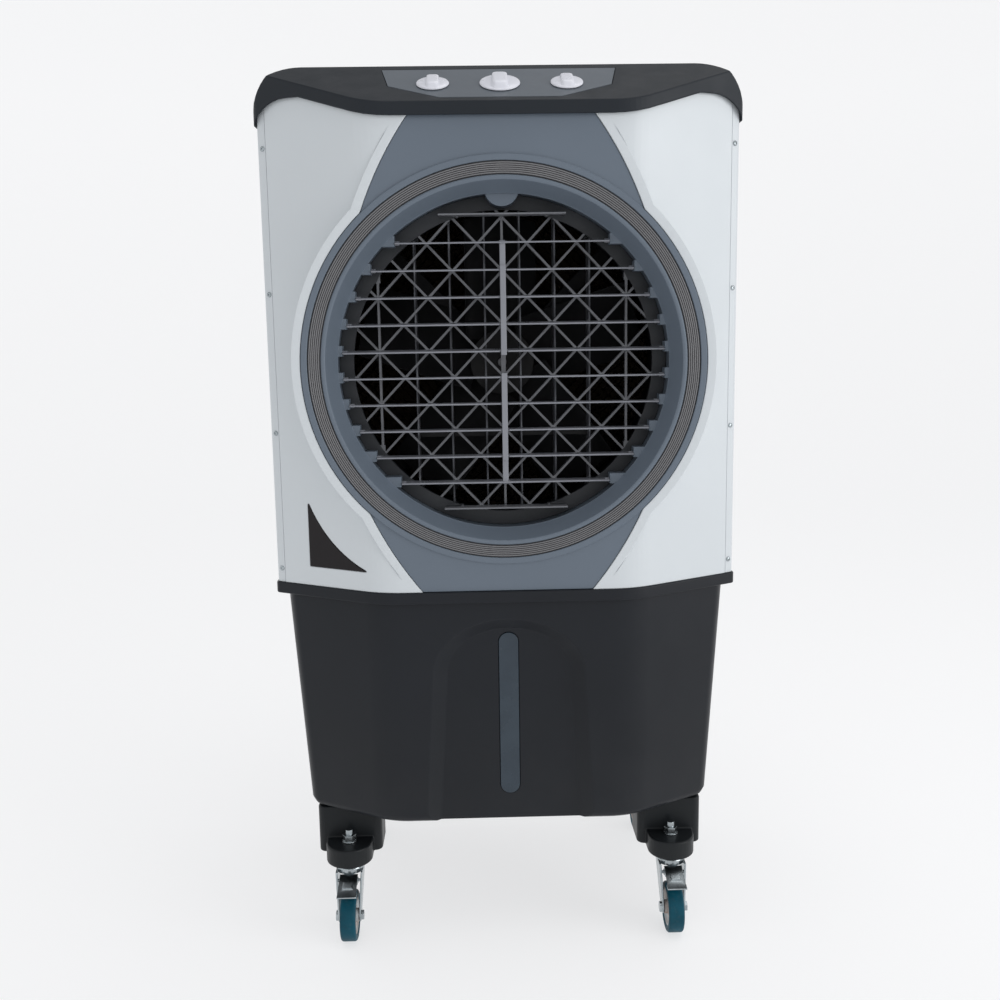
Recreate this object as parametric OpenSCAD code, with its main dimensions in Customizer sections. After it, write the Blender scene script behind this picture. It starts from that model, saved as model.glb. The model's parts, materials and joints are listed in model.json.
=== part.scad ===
// Evaporative cooler on four swivel casters.
// Origin on the floor under the middle of the body, +Z up, air leaves towards -Y.

/* [Body] */
// Width across the casing
body_w = 602; // [594:1:606]
// Front of the casing to its rear
body_d = 400; // [396:1:404]
// Half width of the flat part of the front
flat_half = 130; // [124:1:134]
// Angle of the chamfered front corners
chamfer = 30; // [28:1:32]
// Thickness of the moulded shells
wall = 2.5; // [2.2:0.1:2.8]

/* [Heights] */
// Underside of the water tank
tank_bottom = 172; // [168:1:176]
// Top of the tank rim, where the casing stands
tank_top = 486; // [482:1:490]
// Lower edge of the top cover at its middle
cover_bottom = 1054; // [1052:1:1056]
// Highest point of the top cover
total_h = 1131; // [1129:1:1133]
// Slope of the top cover's front face
slope = 33; // [32:0.5:34]

/* [Outlet] */
// Height of the outlet's centre
outlet_z = 766; // [763:1:769]
// Outer radius of the bezel's round lip
lip_r = 246; // [244:1:248]
// Radius of the air duct behind the outlet cone
duct_r = 206; // [205:0.5:207]
// Distance between louvres
louvre_pitch = 32.7; // [32.2:0.1:33.2]
// Rest tilt of the upper louvres, front edge down
upper_tilt = 6; // [0:1:8]
// Rest tilt of the lower louvres, front edge down
lower_tilt = 1; // [0:1:8]
// Distance between the upright swing vanes
vane_pitch = 44; // [42:1:45]

/* [Casters] */
// Wheel diameter
wheel_d = 66; // [64:1:66]
// Half distance between casters, side to side
caster_x = 218; // [212:1:222]
// Half distance between casters, front to rear
caster_y = 133; // [130:1:136]
// Swivel offset of the wheel
caster_lead = 22; // [20:1:24]

/* [Hidden] */
$fn = 96;
eps = 0.01;

// shared clearances
run_gap = 0.06;
seat_gap = 0.4;

// body outline
front_y = -body_d / 2;
rear_y = body_d / 2;
turn_r = 100;
corner_r = 7;
rear_r = 12;
body_half = body_w / 2;
casing_edge = body_half - 12;
panel_inner = body_half - 3;

// tank
rim_h = 15;
rim_grow = 1.5;
tank_wall = 3.5;
tank_top_half = body_half - 13;
tank_low_half = body_half - 33;
tank_top_front = -192;
tank_low_front = -182;
tank_corner_r = 22;
shoulder_z = tank_top - rim_h;
tank_lean = atan((tank_low_front - tank_top_front) / (shoulder_z - tank_bottom));
arch_depth = 14;
window_w = 25;
window_low = 35;
window_high = 254;
drain_z = 30;
drain_r = 12;

// top cover
cover_half = body_half + 2.2;
cover_y = front_y - 6;
cover_skirt_z = 1050;
crease_z = cover_bottom + 15.5;
cover_corner_r = 60;
cover_wall = 3;
cover_rear_r = 14;
edge_corner_r = 45;
edge_corner_x = 262;

// water fill hatch
hatch_pin_x = panel_inner - 1.8;
hatch_pin_z = 503;

// casing screws
screw_heights = [504, 681, 856, 1033];
rear_screw_heights = [520, 1020];
rear_screw_x = 287;

// control panel, in the slope's own frame: x across, y up the slope, z out of it
panel_y = 50;
side_knob_x = 80;
big_knob_r = 24.2;
small_knob_r = 19.5;
stem_r = 3;

// outlet
lip_in_r = 237.6;
trim_out_r = 237.2;
trim_in_r = 221.6;
cone_r = 204;
cone_back = 30;
bezel_y = front_y + 1.5;
casing_lip = 11;
louvre_y = front_y + 39;
louvre_front = 11;
louvre_back = 16;
louvre_t = 1.8;
tie_y = -6.5;
pivot_r = 2.5;
lattice_front = front_y + 60;
lattice_back = front_y + 68;
cell_w = 31;
vane_y = -112;
vane_half = 17.5;
vane_r = 2;
link_y = 12;
link_z = outlet_z - 92;

// fan
shroud_y = -84;
fan_r = 190;
hub_r = 42;
shaft_r = 6;
motor_front = -20;
motor_len = 78;
motor_r = 50;

// casters
axle_z = wheel_d / 2;
stem_bolt_r = 5;
axle_r = 4;
head_z = 89;
boss_z = 103;
pedal_pin = [16, 80];

function arc(cx, cy, r, a0, a1, n) =
    [for (i = [0:n]) let(a = a0 + (a1 - a0) * i / n) [cx + r * cos(a), cy + r * sin(a)]];

function mirrored(p) = concat(p, [for (i = [len(p) - 1:-1:0]) [-p[i][0], p[i][1]]]);

// right half of a body outline seen from above: flat front, chamfered corner, square rear
function half_plan(hw, fy, ry, rt, rc, rb) =
    let(x0 = flat_half + rt * sin(chamfer),
        y0 = fy + rt * (1 - cos(chamfer)),
        yp = y0 + (hw - x0) * tan(chamfer),
        t = rc * tan((90 - chamfer) / 2))
    concat(arc(flat_half, fy + rt, rt, -90, chamfer - 90, 8),
           arc(hw - rc, yp + t, rc, chamfer - 90, 0, 5),
           arc(hw - rb, ry - rb, rb, 0, 90, 5));

// the casing's outline, grown outwards by g
module plan(g) {
    polygon(mirrored(half_plan(body_half + g, front_y - g, rear_y + g,
        turn_r + g, corner_r + g, rear_r + g)));
}

// extrudes an outline drawn in X and Z from y0 to y1
module along_y(y0, y1) {
    translate([0, y1, 0]) rotate([90, 0, 0]) linear_extrude(y1 - y0) children();
}

module rod_x(r, x0, x1) { translate([x0, 0, 0]) rotate([0, 90, 0]) cylinder(r = r, h = x1 - x0); }
module rod_y(r, y0, y1) { translate([0, y1, 0]) rotate([90, 0, 0]) cylinder(r = r, h = y1 - y0); }
module block(x0, x1, y0, y1, z0, z1) { translate([x0, y0, z0]) cube([x1 - x0, y1 - y0, z1 - z0]); }

// depth of the casing's outline behind its front at distance x from the middle
function recess_at(x) = x <= flat_half ? 0
    : x < flat_half + turn_r * sin(chamfer) ? turn_r - sqrt(turn_r * turn_r - pow(x - flat_half, 2))
    : turn_r * (1 - cos(chamfer)) + (x - flat_half - turn_r * sin(chamfer)) * tan(chamfer);

// lower edge of the top cover seen from the front, raised by r
module cover_edge(r) {
    rise = edge_corner_x - 20;
    top = cover_bottom + recess_at(rise) * tan(slope);
    polygon(mirrored(concat(
        [for (x = [0, flat_half, 145, 160, 175, 190, rise])
            [x, cover_bottom + recess_at(x) * tan(slope) + r]],
        arc(edge_corner_x, top - edge_corner_r + 1 + r, edge_corner_r, 92, 12, 8),
        [[body_half + 30, cover_skirt_z + r], [body_half + 30, 300], [0, 300]])));
}

// ---------------------------------------------------------------- tank

module tank_slab(hw, fy, z, inset) {
    translate([0, 0, z]) linear_extrude(eps)
        polygon(mirrored(half_plan(hw - inset, fy + inset, -fy - inset,
            turn_r - inset, tank_corner_r - inset, tank_corner_r - inset)));
}

module tank_body(inset, low, high) {
    hull() {
        tank_slab(tank_low_half, tank_low_front, low, inset + 11);
        tank_slab(tank_low_half, tank_low_front, low + 4, inset + 4);
        tank_slab(tank_low_half + 0.8, tank_low_front - 0.4, low + 13, inset);
        tank_slab(tank_top_half, tank_top_front, high, inset);
    }
}

// frame on the tank's leaning front: x across, y up the wall, z outwards
module on_tank_front() {
    translate([0, tank_low_front, tank_bottom]) rotate([90 + tank_lean, 0, 0]) children();
}

module arch(rx, ry, cy, foot) {
    polygon(mirrored(concat([[foot, -30]], [for (a = [0:9:90]) [rx * cos(a), cy + ry * sin(a)]])));
}

module arch_recess(grow) {
    hull() {
        translate([0, 0, -grow]) linear_extrude(6) arch(97 + grow, 72 + grow, 204, 111 + grow);
        translate([0, 0, -arch_depth - grow]) linear_extrude(eps) arch(79 + grow, 60 + grow, 200, 93 + grow);
    }
}

module slot_bar(w, y0, y1, z0, z1) {
    for (y = [y0 + w / 2, y1 - w / 2]) translate([0, y, z0]) cylinder(r = w / 2, h = z1 - z0);
    block(-w / 2, w / 2, y0 + w / 2, y1 - w / 2, z0, z1);
}

module tank() {
    color([0.17, 0.18, 0.19]) difference() {
        union() {
            tank_body(0, tank_bottom, shoulder_z + eps);
            translate([0, 0, shoulder_z]) linear_extrude(rim_h) plan(rim_grow);
            translate([0, 0, tank_bottom + drain_z]) rod_y(drain_r + 5, 165, 190);
        }
        difference() {
            tank_body(tank_wall, tank_bottom + tank_wall, shoulder_z + 2 * eps);
            on_tank_front() arch_recess(tank_wall);
            translate([0, 0, tank_bottom + drain_z]) rod_y(drain_r + 5, 165, 200);
        }
        translate([0, 0, shoulder_z]) linear_extrude(rim_h + 1)
            polygon(mirrored(half_plan(tank_top_half - tank_wall, tank_top_front + tank_wall,
                -tank_top_front - tank_wall, turn_r - tank_wall,
                tank_corner_r - tank_wall, tank_corner_r - tank_wall)));
        on_tank_front() {
            arch_recess(0);
            slot_bar(window_w, window_low, window_high, -arch_depth - 8, -arch_depth + 4);
        }
        translate([0, 0, tank_bottom + drain_z]) rod_y(drain_r, 160, 200);
    }
}

module level_window() {
    color([0.24, 0.3, 0.36, 0.7]) on_tank_front() difference() {
        slot_bar(window_w - 2 * run_gap, window_low + run_gap, window_high - run_gap,
            -arch_depth - tank_wall, -arch_depth + 0.8);
        slot_bar(window_w - 5, window_low + 3, window_high - 3,
            -arch_depth - tank_wall - 1, -arch_depth - 1.6);
    }
}

module drain_plug() {
    color([0.14, 0.15, 0.16]) translate([0, 0, tank_bottom + drain_z]) {
        rod_y(drain_r - run_gap, 170, 190.1);
        difference() {
            rod_y(drain_r + 4, 190.1, 198);
            rod_y(drain_r, 193, 199);
        }
        block(-drain_r, drain_r, 192, 198, -2, 2);
    }
}

// ---------------------------------------------------------------- casing

function bowed(p, q, b, n) =
    let(d = q - p, l = norm(d), nx = -d[1] / l, ny = d[0] / l)
    [for (i = [0:n]) let(t = i / n, s = 4 * b * t * (1 - t))
        [p[0] + d[0] * t + nx * s, p[1] + d[1] * t + ny * s]];

// the front opening seen from the front: an hourglass with a round middle, grown by g
module opening(g) {
    side = g * 1.13;
    polygon(mirrored(concat(
        bowed([107 + side, cover_bottom + 6], [169 + side, outlet_z + 178], 5, 8),
        bowed([169 + side, outlet_z - 178], [106 + side, tank_top], 4, 8))));
    translate([0, outlet_z]) circle(r = lip_r + g, $fn = 180);
}

module opening_band(grow_out, grow_in) {
    difference() {
        opening(grow_out);
        difference() {
            opening(grow_in);
            translate([-400, cover_bottom + 6.1]) square([800, 50]);
        }
    }
}

// decorative trim outline on the chamfered corner: x along the chamfer, y up
module trim_outline(g) {
    u0 = -3.5 - 2 * g;
    u1 = 84 + g;
    low = tank_top + 25;
    high = tank_top + 106;
    polygon(concat([[u1, low - g], [u1, high + 2 * g]],
        bowed([u1 - 2, high + 2 * g], [u0, low + 1 + g], 11, 10), [[u0, low - g]]));
}

module on_left_chamfer() {
    translate([-flat_half - turn_r * sin(chamfer), front_y + turn_r * (1 - cos(chamfer)), 0])
        rotate([0, 0, -chamfer]) mirror([1, 0, 0]) rotate([90, 0, 0]) children();
}

module front_casing() {
    color([0.86, 0.87, 0.88]) difference() {
        intersection() {
            union() {
                difference() {
                    translate([0, 0, tank_top]) linear_extrude(660) difference() {
                        plan(0);
                        plan(-wall);
                    }
                    along_y(front_y - 1, rear_y) opening(casing_lip - wall);
                }
                difference() {
                    along_y(front_y, front_y + 80) opening_band(casing_lip, casing_lip - wall);
                    translate([0, 0, 300]) linear_extrude(900) plan(-wall);
                }
                along_y(front_y, front_y + wall) opening_band(casing_lip, 0);
                along_y(front_y + wall - eps, front_y + 6.7) opening_band(2, 0);
                along_y(front_y + 4.7, front_y + 6.7) opening_band(2, -4);
            }
            block(-casing_edge, casing_edge, front_y, -100, tank_top, 1140);
            along_y(front_y - 1, rear_y) cover_edge(11);
        }
        on_left_chamfer() translate([0, 0, -1.5]) linear_extrude(3) trim_outline(0.3);
    }
}

module corner_trim() {
    color([0.1, 0.08, 0.08]) on_left_chamfer() translate([0, 0, -1.5]) linear_extrude(1.9) trim_outline(0);
}

module front_bezel() {
    color([0.4, 0.43, 0.47]) difference() {
        union() {
            along_y(bezel_y, bezel_y + 3) intersection() {
                opening(-0.5);
                translate([-300, tank_top + 0.3]) square([600, cover_bottom + 5.5 - tank_top]);
            }
            translate([0, 0, outlet_z]) rod_y(lip_r - 0.8, front_y - 1, bezel_y + 2);
        }
        translate([0, 0, outlet_z]) rod_y(lip_in_r, front_y - 10, front_y + 10);
    }
}

// ribbed ring between the bezel and the cone
module trim_ring() {
    ribs = 7;
    pitch = (trim_out_r - trim_in_r) / ribs;
    color([0.42, 0.41, 0.42]) translate([0, front_y, outlet_z]) rotate([90, 0, 0]) rotate_extrude($fn = 180)
        polygon(concat([[trim_in_r, -4.5]],
            [for (i = [0:ribs - 1]) each [
                [trim_in_r + pitch * i, 0.6], [trim_in_r + pitch * (i + 0.25), 1.6],
                [trim_in_r + pitch * (i + 0.75), 1.6], [trim_in_r + pitch * (i + 0.98), 0.6]]],
            [[trim_out_r, -4.5]]));
}

// ---------------------------------------------------------------- outlet and louvres

function row_z(k) = outlet_z + (5.5 - k) * louvre_pitch;
function blade_half(k) = sqrt(pow(cone_r, 2) - pow(abs(row_z(k) - outlet_z) + 6, 2)) - 4.5;

module outlet_ring() {
    color([0.36, 0.39, 0.43]) difference() {
        union() {
            translate([0, front_y, outlet_z]) rotate([90, 0, 0]) rotate_extrude($fn = 180) polygon([
                [221.2, 0.6], [219.8, 1.8], [217.6, 2], [215.6, 1], [205.2, 1.5 - cone_back],
                [cone_r, -cone_back], [cone_r + 0.4, -cone_back - 1.6],
                [duct_r, -cone_back - 2], [duct_r, -106],
                [duct_r + wall, -106], [duct_r + wall, -cone_back - 2.5], [218.6, -7.5], [241.5, -7.5],
                [241.5, -4.5], [221.2, -4.5]]);
            intersection() {
                translate([0, 0, outlet_z]) rod_y(duct_r + 1, -400, 0);
                union() {
                    for (k = [1:10], side = [-1, 1])
                        translate([side * (blade_half(k) + 12.6), 0, row_z(k)])
                            block(-12, 12, louvre_y - 8, louvre_y + 11, -4.5, 8.5);
                    translate([0, 0, outlet_z + duct_r + 4]) rod_y(21, front_y + 34, front_y + 58);
                }
            }
        }
        for (k = [1:10]) translate([0, louvre_y, row_z(k)])
            rod_x(pivot_r + run_gap, -blade_half(k) - 5.6, blade_half(k) + 5.6);
    }
}

module blade_profile() {
    polygon(concat(arc(-louvre_front + 1.1, 0, 1.1, 100, 260, 6),
        [[4, -louvre_t / 2], [louvre_back - 0.6, -0.5], [louvre_back, 0], [louvre_back - 0.6, 0.5],
         [4, louvre_t / 2]]));
}

// one blade about its own pivot axis, level
module blade(half) {
    rotate([90, 0, 90]) translate([0, 0, -half]) linear_extrude(2 * half) blade_profile();
}

function blade_tilt(k) = k <= 5 ? upper_tilt : lower_tilt;

module louvre(k) {
    half = blade_half(k);
    end_row = k == 1 || k == 10;
    color([0.5, 0.51, 0.53]) translate([0, louvre_y, row_z(k)]) rotate([blade_tilt(k), 0, 0]) {
        difference() {
            blade(half);
            block(-5.2, 5.2, end_row ? -9.8 : -20, -1.2, -5, 5);
        }
        rod_x(pivot_r, -half - 5, -half + 5);
        rod_x(pivot_r, half - 5, half + 5);
        translate([0, tie_y, 0]) rod_x(1.4, -6, 6);
    }
}

module tie_bar(first, last, end) {
    tilt = blade_tilt(first);
    pin_y = louvre_y + tie_y * cos(tilt);
    drop = -tie_y * sin(tilt);
    high = row_z(min(first, last)) - drop;
    low = row_z(max(first, last)) - drop;
    set_back = end == first ? high : low;
    inner = end == first ? high - louvre_pitch + 5 : low + louvre_pitch - 5;
    color([0.5, 0.5, 0.53]) difference() {
        union() {
            block(-3.5, 3.5, pin_y - 5.2, pin_y + 2.5,
                end == first ? low - 5 : inner, end == first ? inner : high + 5);
            block(-3.5, 3.5, pin_y - 1.5, pin_y + 2.5, min(set_back, inner), max(set_back, inner));
            translate([0, pin_y, set_back]) rod_x(2.5, -3.5, 3.5);
        }
        for (k = [first:last]) translate([0, pin_y, row_z(k) - drop]) rod_x(1.4 + run_gap, -6, 6);
    }
}

module grille_lattice() {
    drop = cell_w / louvre_pitch;
    color([0.33, 0.35, 0.38]) difference() {
        union() {
            intersection() {
                translate([0, 0, outlet_z]) rod_y(200, lattice_front, lattice_back);
                union() {
                    for (m = [-3:9], way = [-1, 1])
                        translate([way * (2 * m * cell_w - drop * (row_z(0) - outlet_z)), 0, outlet_z])
                            rotate([0, way * atan(drop), 0])
                                block(-1.5, 1.5, lattice_front, lattice_back, -420, 420);
                    for (x = [-5, 5]) translate([x * cell_w - 1.5, lattice_front, outlet_z - 200])
                        cube([3, 8, 400]);
                    block(-1.5, 1.5, lattice_front, lattice_back, row_z(11), row_z(0));
                    block(-3, 3, lattice_front, lattice_back, row_z(10), row_z(1));
                    block(-200, 200, lattice_front, lattice_back, row_z(5) - 2, row_z(5) + 2);
                    for (sx = [-1, 1], sz = [-1, 1]) translate([sx * 180, 0, outlet_z + sz * 130])
                        block(-28, 28, lattice_front, lattice_back, -29, 29);
                }
            }
            translate([0, 0, outlet_z]) difference() {
                union() {
                    rod_y(duct_r - 0.4, lattice_front, lattice_back);
                    rod_y(duct_r - 0.4, lattice_back - eps, -90);
                }
                rod_y(188, lattice_front - 1, lattice_back + eps);
                rod_y(duct_r - 3, lattice_back, -80);
            }
            intersection() {
                translate([0, 0, outlet_z]) rod_y(duct_r - 1, -400, 0);
                union() {
                    for (i = [1:6], side = [-1, 1])
                        translate([vane_x(i), vane_y, outlet_z + side * (vane_top(i) + 0.4 + 20)])
                            block(-5, 5, -7, 7, -20, 20);
                }
            }
            for (k = [0, 11]) translate([0, louvre_y, row_z(k)]) {
                intersection() {
                    blade(blade_half(k) - 2);
                    block(-300, 300, -20, 20, -9, 9);
                }
                for (x = [-55, 0, 55]) block(x - 1.5, x + 1.5, 8, lattice_front - louvre_y + 1, -1.5, 1.5);
            }
        }
        for (i = [1:6]) translate([vane_x(i), vane_y, outlet_z - vane_top(i) - 5])
            cylinder(r = vane_r + run_gap, h = 2 * vane_top(i) + 10);
    }
}

// ---------------------------------------------------------------- swing vanes

function vane_x(i) = (i - 3.5) * vane_pitch;
function vane_top(i) = sqrt(pow(duct_r - 3, 2) - pow(abs(vane_x(i)) + 15, 2)) - 7;

module vane(i) {
    top = vane_top(i);
    color([0.2, 0.22, 0.25]) translate([vane_x(i), vane_y, outlet_z]) {
        difference() {
            translate([0, 0, -top]) linear_extrude(2 * top)
                polygon([[-1.2, -vane_half + 1], [0, -vane_half], [1.2, -vane_half + 1],
                         [1.2, vane_half - 1], [0, vane_half], [-1.2, vane_half - 1]]);
            block(-5, 5, link_y - 5, vane_half + 1, link_z - outlet_z - 4.5, link_z - outlet_z + 4.5);
        }
        translate([0, 0, -top - 4.5]) cylinder(r = vane_r, h = 8);
        translate([0, 0, top - 3.5]) cylinder(r = vane_r, h = 8);
        translate([0, link_y, link_z - outlet_z - 5]) cylinder(r = 1.2, h = 10);
    }
}

module vane_link() {
    color([0.3, 0.32, 0.34]) difference() {
        block(vane_x(1) - 5, vane_x(6) + 5, vane_y + link_y - 3, vane_y + link_y + 3,
            link_z - 3, link_z + 3);
        for (i = [1:6]) translate([vane_x(i), vane_y + link_y, link_z - 5])
            cylinder(r = 1.2 + run_gap, h = 10);
    }
}

module swing_motor() {
    color([0.62, 0.63, 0.65]) translate([205, 0, 560]) {
        rod_y(24, shroud_y - 20, shroud_y);
        rod_y(3.5, shroud_y - 30, shroud_y - 20);
        block(-32, 32, shroud_y - 2, shroud_y, -7, 7);
    }
}

// ---------------------------------------------------------------- side panels and rear

module fill_hole() { block(panel_inner - 3, body_half + 4, 94.5, 165.5, 498, 560); }

module side_panel(side) {
    color([0.84, 0.85, 0.86]) difference() {
        intersection() {
            translate([0, 0, tank_top]) linear_extrude(640) difference() {
                plan(-1);
                plan(-3);
            }
            along_y(front_y - 1, rear_y + 1) cover_edge(6);
            if (side > 0) union() {
                block(casing_edge + 0.3, 320, front_y, rear_y, tank_top, 1140);
                block(277, 320, 0, rear_y, tank_top, 1140);
            } else union() {
                block(-320, -casing_edge - 0.3, front_y, rear_y, tank_top, 1140);
                block(-320, -277, 0, rear_y, tank_top, 1140);
            }
        }
        for (z = screw_heights) on_strip(side, z) translate([0, 0, -5]) cylinder(r = 1.7, h = 10);
        for (z = rear_screw_heights) translate([side * rear_screw_x, 0, z]) rod_y(1.7, 180, 210);
        if (side > 0) fill_hole();
    }
}

module side_panel_left() { side_panel(-1); }

module side_panel_right() {
    side_panel(1);
    color([0.84, 0.85, 0.86]) difference() {
        union() {
            difference() {
                block(panel_inner - 35, panel_inner + 0.1, 88, 172, tank_top + 1, 568);
                block(panel_inner - 33, body_half + 4, 90, 170, 300, 566);
            }
            for (y = [90, 166]) block(panel_inner - 5, panel_inner + 0.1, y - 0.1, y + 4, 499, 507);
        }
        translate([hatch_pin_x, 0, hatch_pin_z]) rod_y(1.5 + run_gap, 91, 169);
    }
}

module fill_door() {
    color([0.8, 0.81, 0.82]) {
        block(panel_inner, panel_inner + 2, 95, 165, hatch_pin_z, 559.4);
        translate([hatch_pin_x, 0, hatch_pin_z]) {
            rod_y(2.4, 95, 165);
            rod_y(1.5, 91.3, 168.7);
        }
        block(panel_inner + 2 - eps, panel_inner + 4, 118, 142, 550, 553);
    }
}

// frame on the narrow strip beside the front casing: z points out of it
module on_strip(side, z) {
    x = casing_edge + 4.5;
    translate([side * x, front_y + recess_at(x) + 1.15, z]) rotate([90, 0, side * chamfer]) children();
}

module screw(length) {
    rotate_extrude($fn = 32) polygon([[0, 0], [3.2, 0], [3.2, 0.7], [2.4, 1.5], [0, 1.8]]);
    translate([0, 0, -length]) cylinder(r = 1.6, h = length);
}

module casing_screws() {
    color([0.5, 0.5, 0.5]) {
        for (side = [-1, 1], z = screw_heights) on_strip(side, z) screw(8);
        for (side = [-1, 1], z = rear_screw_heights)
            translate([side * rear_screw_x, rear_y - 1, z]) rotate([-90, 0, 0]) screw(10);
    }
}

module pad_frame() {
    x1 = 276;
    z0 = tank_top + 2;
    z1 = 1047;
    border = 20;
    rows = 20;
    pitch = (z1 - z0 - 2 * border) / rows;
    color([0.82, 0.83, 0.84]) {
        difference() {
            block(-x1, x1, rear_y - 11, rear_y - 1, z0, z1);
            block(-x1 + border, x1 - border, rear_y - 12, rear_y, z0 + border, z1 - border);
            block(-262, 262, rear_y - 12, rear_y - 9, 499, 1001);
        }
        for (i = [1:rows - 1]) translate([0, 0, z0 + border + i * pitch])
            block(-x1 + border - 1, x1 - border + 1, rear_y - 7, rear_y - 1.5, -1.6, 1.6);
        for (x = [-128, 0, 128])
            block(x - 4, x + 4, rear_y - 8.5, rear_y - 2, z0 + border - 1, z1 - border + 1);
    }
}

module cooling_pad() {
    color([0.62, 0.5, 0.33]) block(-261, 261, 150, rear_y - 9.3, 500, 1000);
}

module water_tray() {
    color([0.3, 0.32, 0.34]) difference() {
        block(-268, 268, 108, 184, 1004, 1040);
        block(-265.5, 265.5, 110.5, 181.5, 1006.5, 1041);
        translate([-225, 125, 1000]) cylinder(r = 8.3, h = 20);
        for (x = [-250:25:250]) translate([x, 168, 1000]) cylinder(r = 2.5, h = 20, $fn = 24);
    }
}

module water_pump() {
    color([0.12, 0.12, 0.13]) {
        block(-253, -197, 100, 150, tank_bottom + tank_wall, tank_bottom + 40);
        translate([-225, 125, tank_bottom + 39]) cylinder(r = 23, h = 27);
        translate([-225, 125, tank_bottom + 65]) cylinder(r = 5.9, h = 22);
    }
}

module feed_hose() {
    color([0.75, 0.77, 0.78]) translate([-225, 125, tank_bottom + 68]) difference() {
        cylinder(r = 8, h = 1014 - tank_bottom - 68);
        translate([0, 0, -1]) cylinder(r = 6, h = 1020);
    }
}

// ---------------------------------------------------------------- fan

module fan_shroud() {
    color([0.25, 0.26, 0.28]) {
        difference() {
            union() {
                block(-panel_inner + 1, panel_inner - 1, shroud_y, shroud_y + 3, tank_top + 4, 1046);
                translate([0, 0, outlet_z]) rod_y(fan_r + 14, shroud_y, motor_front);
            }
            translate([0, 0, outlet_z]) rod_y(fan_r + 11, shroud_y - 1, motor_front + 1);
        }
        intersection() {
            translate([0, 0, outlet_z]) rod_y(fan_r + 12, motor_front - 5, motor_front);
            difference() {
                union() {
                    for (a = [45, 135]) translate([0, 0, outlet_z]) rotate([0, a, 0])
                        block(-9, 9, motor_front - 5, motor_front, -220, 220);
                    translate([0, 0, outlet_z]) rod_y(58, motor_front - 5, motor_front);
                }
                translate([0, 0, outlet_z]) rod_y(20, motor_front - 6, motor_front + 1);
            }
        }
    }
}

module fan_motor() {
    color([0.45, 0.46, 0.48]) translate([0, 0, outlet_z]) difference() {
        union() {
            rod_y(motor_r, motor_front, motor_front + motor_len);
            rod_y(17, motor_front - 6, motor_front + 1);
            rod_y(22, motor_front + motor_len - 1, motor_front + motor_len + 8);
        }
        rod_y(shaft_r + run_gap, motor_front - 10, motor_front + 60);
    }
}

module motor_shaft() {
    color([0.7, 0.7, 0.72]) translate([0, 0, outlet_z]) rod_y(shaft_r, shroud_y + 8, motor_front + 58);
}

module fan_impeller() {
    color([0.13, 0.14, 0.15]) translate([0, 0, outlet_z]) difference() {
        union() {
            rod_y(hub_r, -72, -32);
            intersection() {
                rod_y(fan_r, -80, -27);
                for (i = [0:4]) rotate([0, i * 72, 0]) translate([0, -52, 0]) rotate([0, 0, 28])
                    block(-54, 54, -1.3, 1.3, 30, fan_r + 10);
            }
        }
        rod_y(shaft_r, -100, 0);
    }
}

// ---------------------------------------------------------------- top cover and controls

// frame on the sloping face: x across, y up the slope, z out of it
module on_slope() { translate([0, cover_y, crease_z]) rotate([slope, 0, 0]) children(); }

module cover_solid(t) {
    intersection() {
        translate([0, 0, 900]) linear_extrude(400)
            polygon(mirrored(half_plan(cover_half - t, cover_y + t, -cover_y - t,
                turn_r + 5 - t, 12 - t, cover_rear_r - t)));
        along_y(-300, 300) polygon(mirrored(concat([[cover_half - t, 900]],
            arc(cover_half - cover_corner_r, total_h - cover_corner_r, cover_corner_r - t, 0, 90, 12))));
        on_slope() block(-400, 400, -400, 900, -400, -t);
    }
}

module panel_outline(g) {
    polygon([[-143 - g, 99.5 + g], [-133 - g, 46.5 - g], [-72, 10.4 - g], [72, 10.4 - g], [133 + g, 46.5 - g],
        [143 + g, 99.5 + g]]);
}

knob_places = [[-side_knob_x, small_knob_r], [0, big_knob_r], [side_knob_x, small_knob_r]];

module top_cover() {
    color([0.2, 0.21, 0.22]) difference() {
        cover_solid(0);
        cover_solid(cover_wall);
        block(-400, 400, -150, 400, 800, cover_skirt_z);
        along_y(-300, -90) cover_edge(0);
        on_slope() {
            translate([0, 0, -2]) linear_extrude(4) panel_outline(seat_gap);
            for (k = knob_places) translate([k[0], panel_y, -10]) cylinder(r = 9.2, h = 20);
        }
    }
}

module control_panel() {
    color([0.44, 0.47, 0.5]) on_slope() difference() {
        translate([0, 0, -2]) linear_extrude(2) panel_outline(0);
        for (k = knob_places) translate([k[0], panel_y, -5]) cylinder(r = stem_r + 1.5, h = 10);
    }
}

module rotary_switches() {
    color([0.15, 0.15, 0.16]) on_slope() for (k = knob_places) translate([k[0], panel_y, 0]) difference() {
        union() {
            block(-14, 14, -14, 14, -28, -5);
            translate([0, 0, -6]) cylinder(r = 8, h = 3.9);
        }
        translate([0, 0, -22]) cylinder(r = stem_r + run_gap, h = 30);
    }
}

module knob(x, r) {
    grip_w = r * 0.72;
    grip_h = r * 0.28;
    color([0.9, 0.9, 0.92]) on_slope() translate([x, panel_y, 0]) {
        translate([0, 0, seat_gap]) cylinder(r1 = r, r2 = r - 1.2, h = 2.8);
        hull() {
            for (y = [-r * 0.86, r * 0.86]) translate([0, y, seat_gap + 2.2])
                cube([grip_w * 1.3, 2, 0.6], center = true);
            for (y = [-r * 0.62, r * 0.62]) translate([0, y, seat_gap + 2.6 + grip_h])
                cube([grip_w, 2, 0.6], center = true);
        }
        translate([0, 0, -20]) cylinder(r = stem_r, h = 22);
    }
}

module swing_knob() { knob(-side_knob_x, small_knob_r); }
module speed_knob() { knob(0, big_knob_r); }
module pump_knob() { knob(side_knob_x, small_knob_r); }

// ---------------------------------------------------------------- casters

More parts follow.
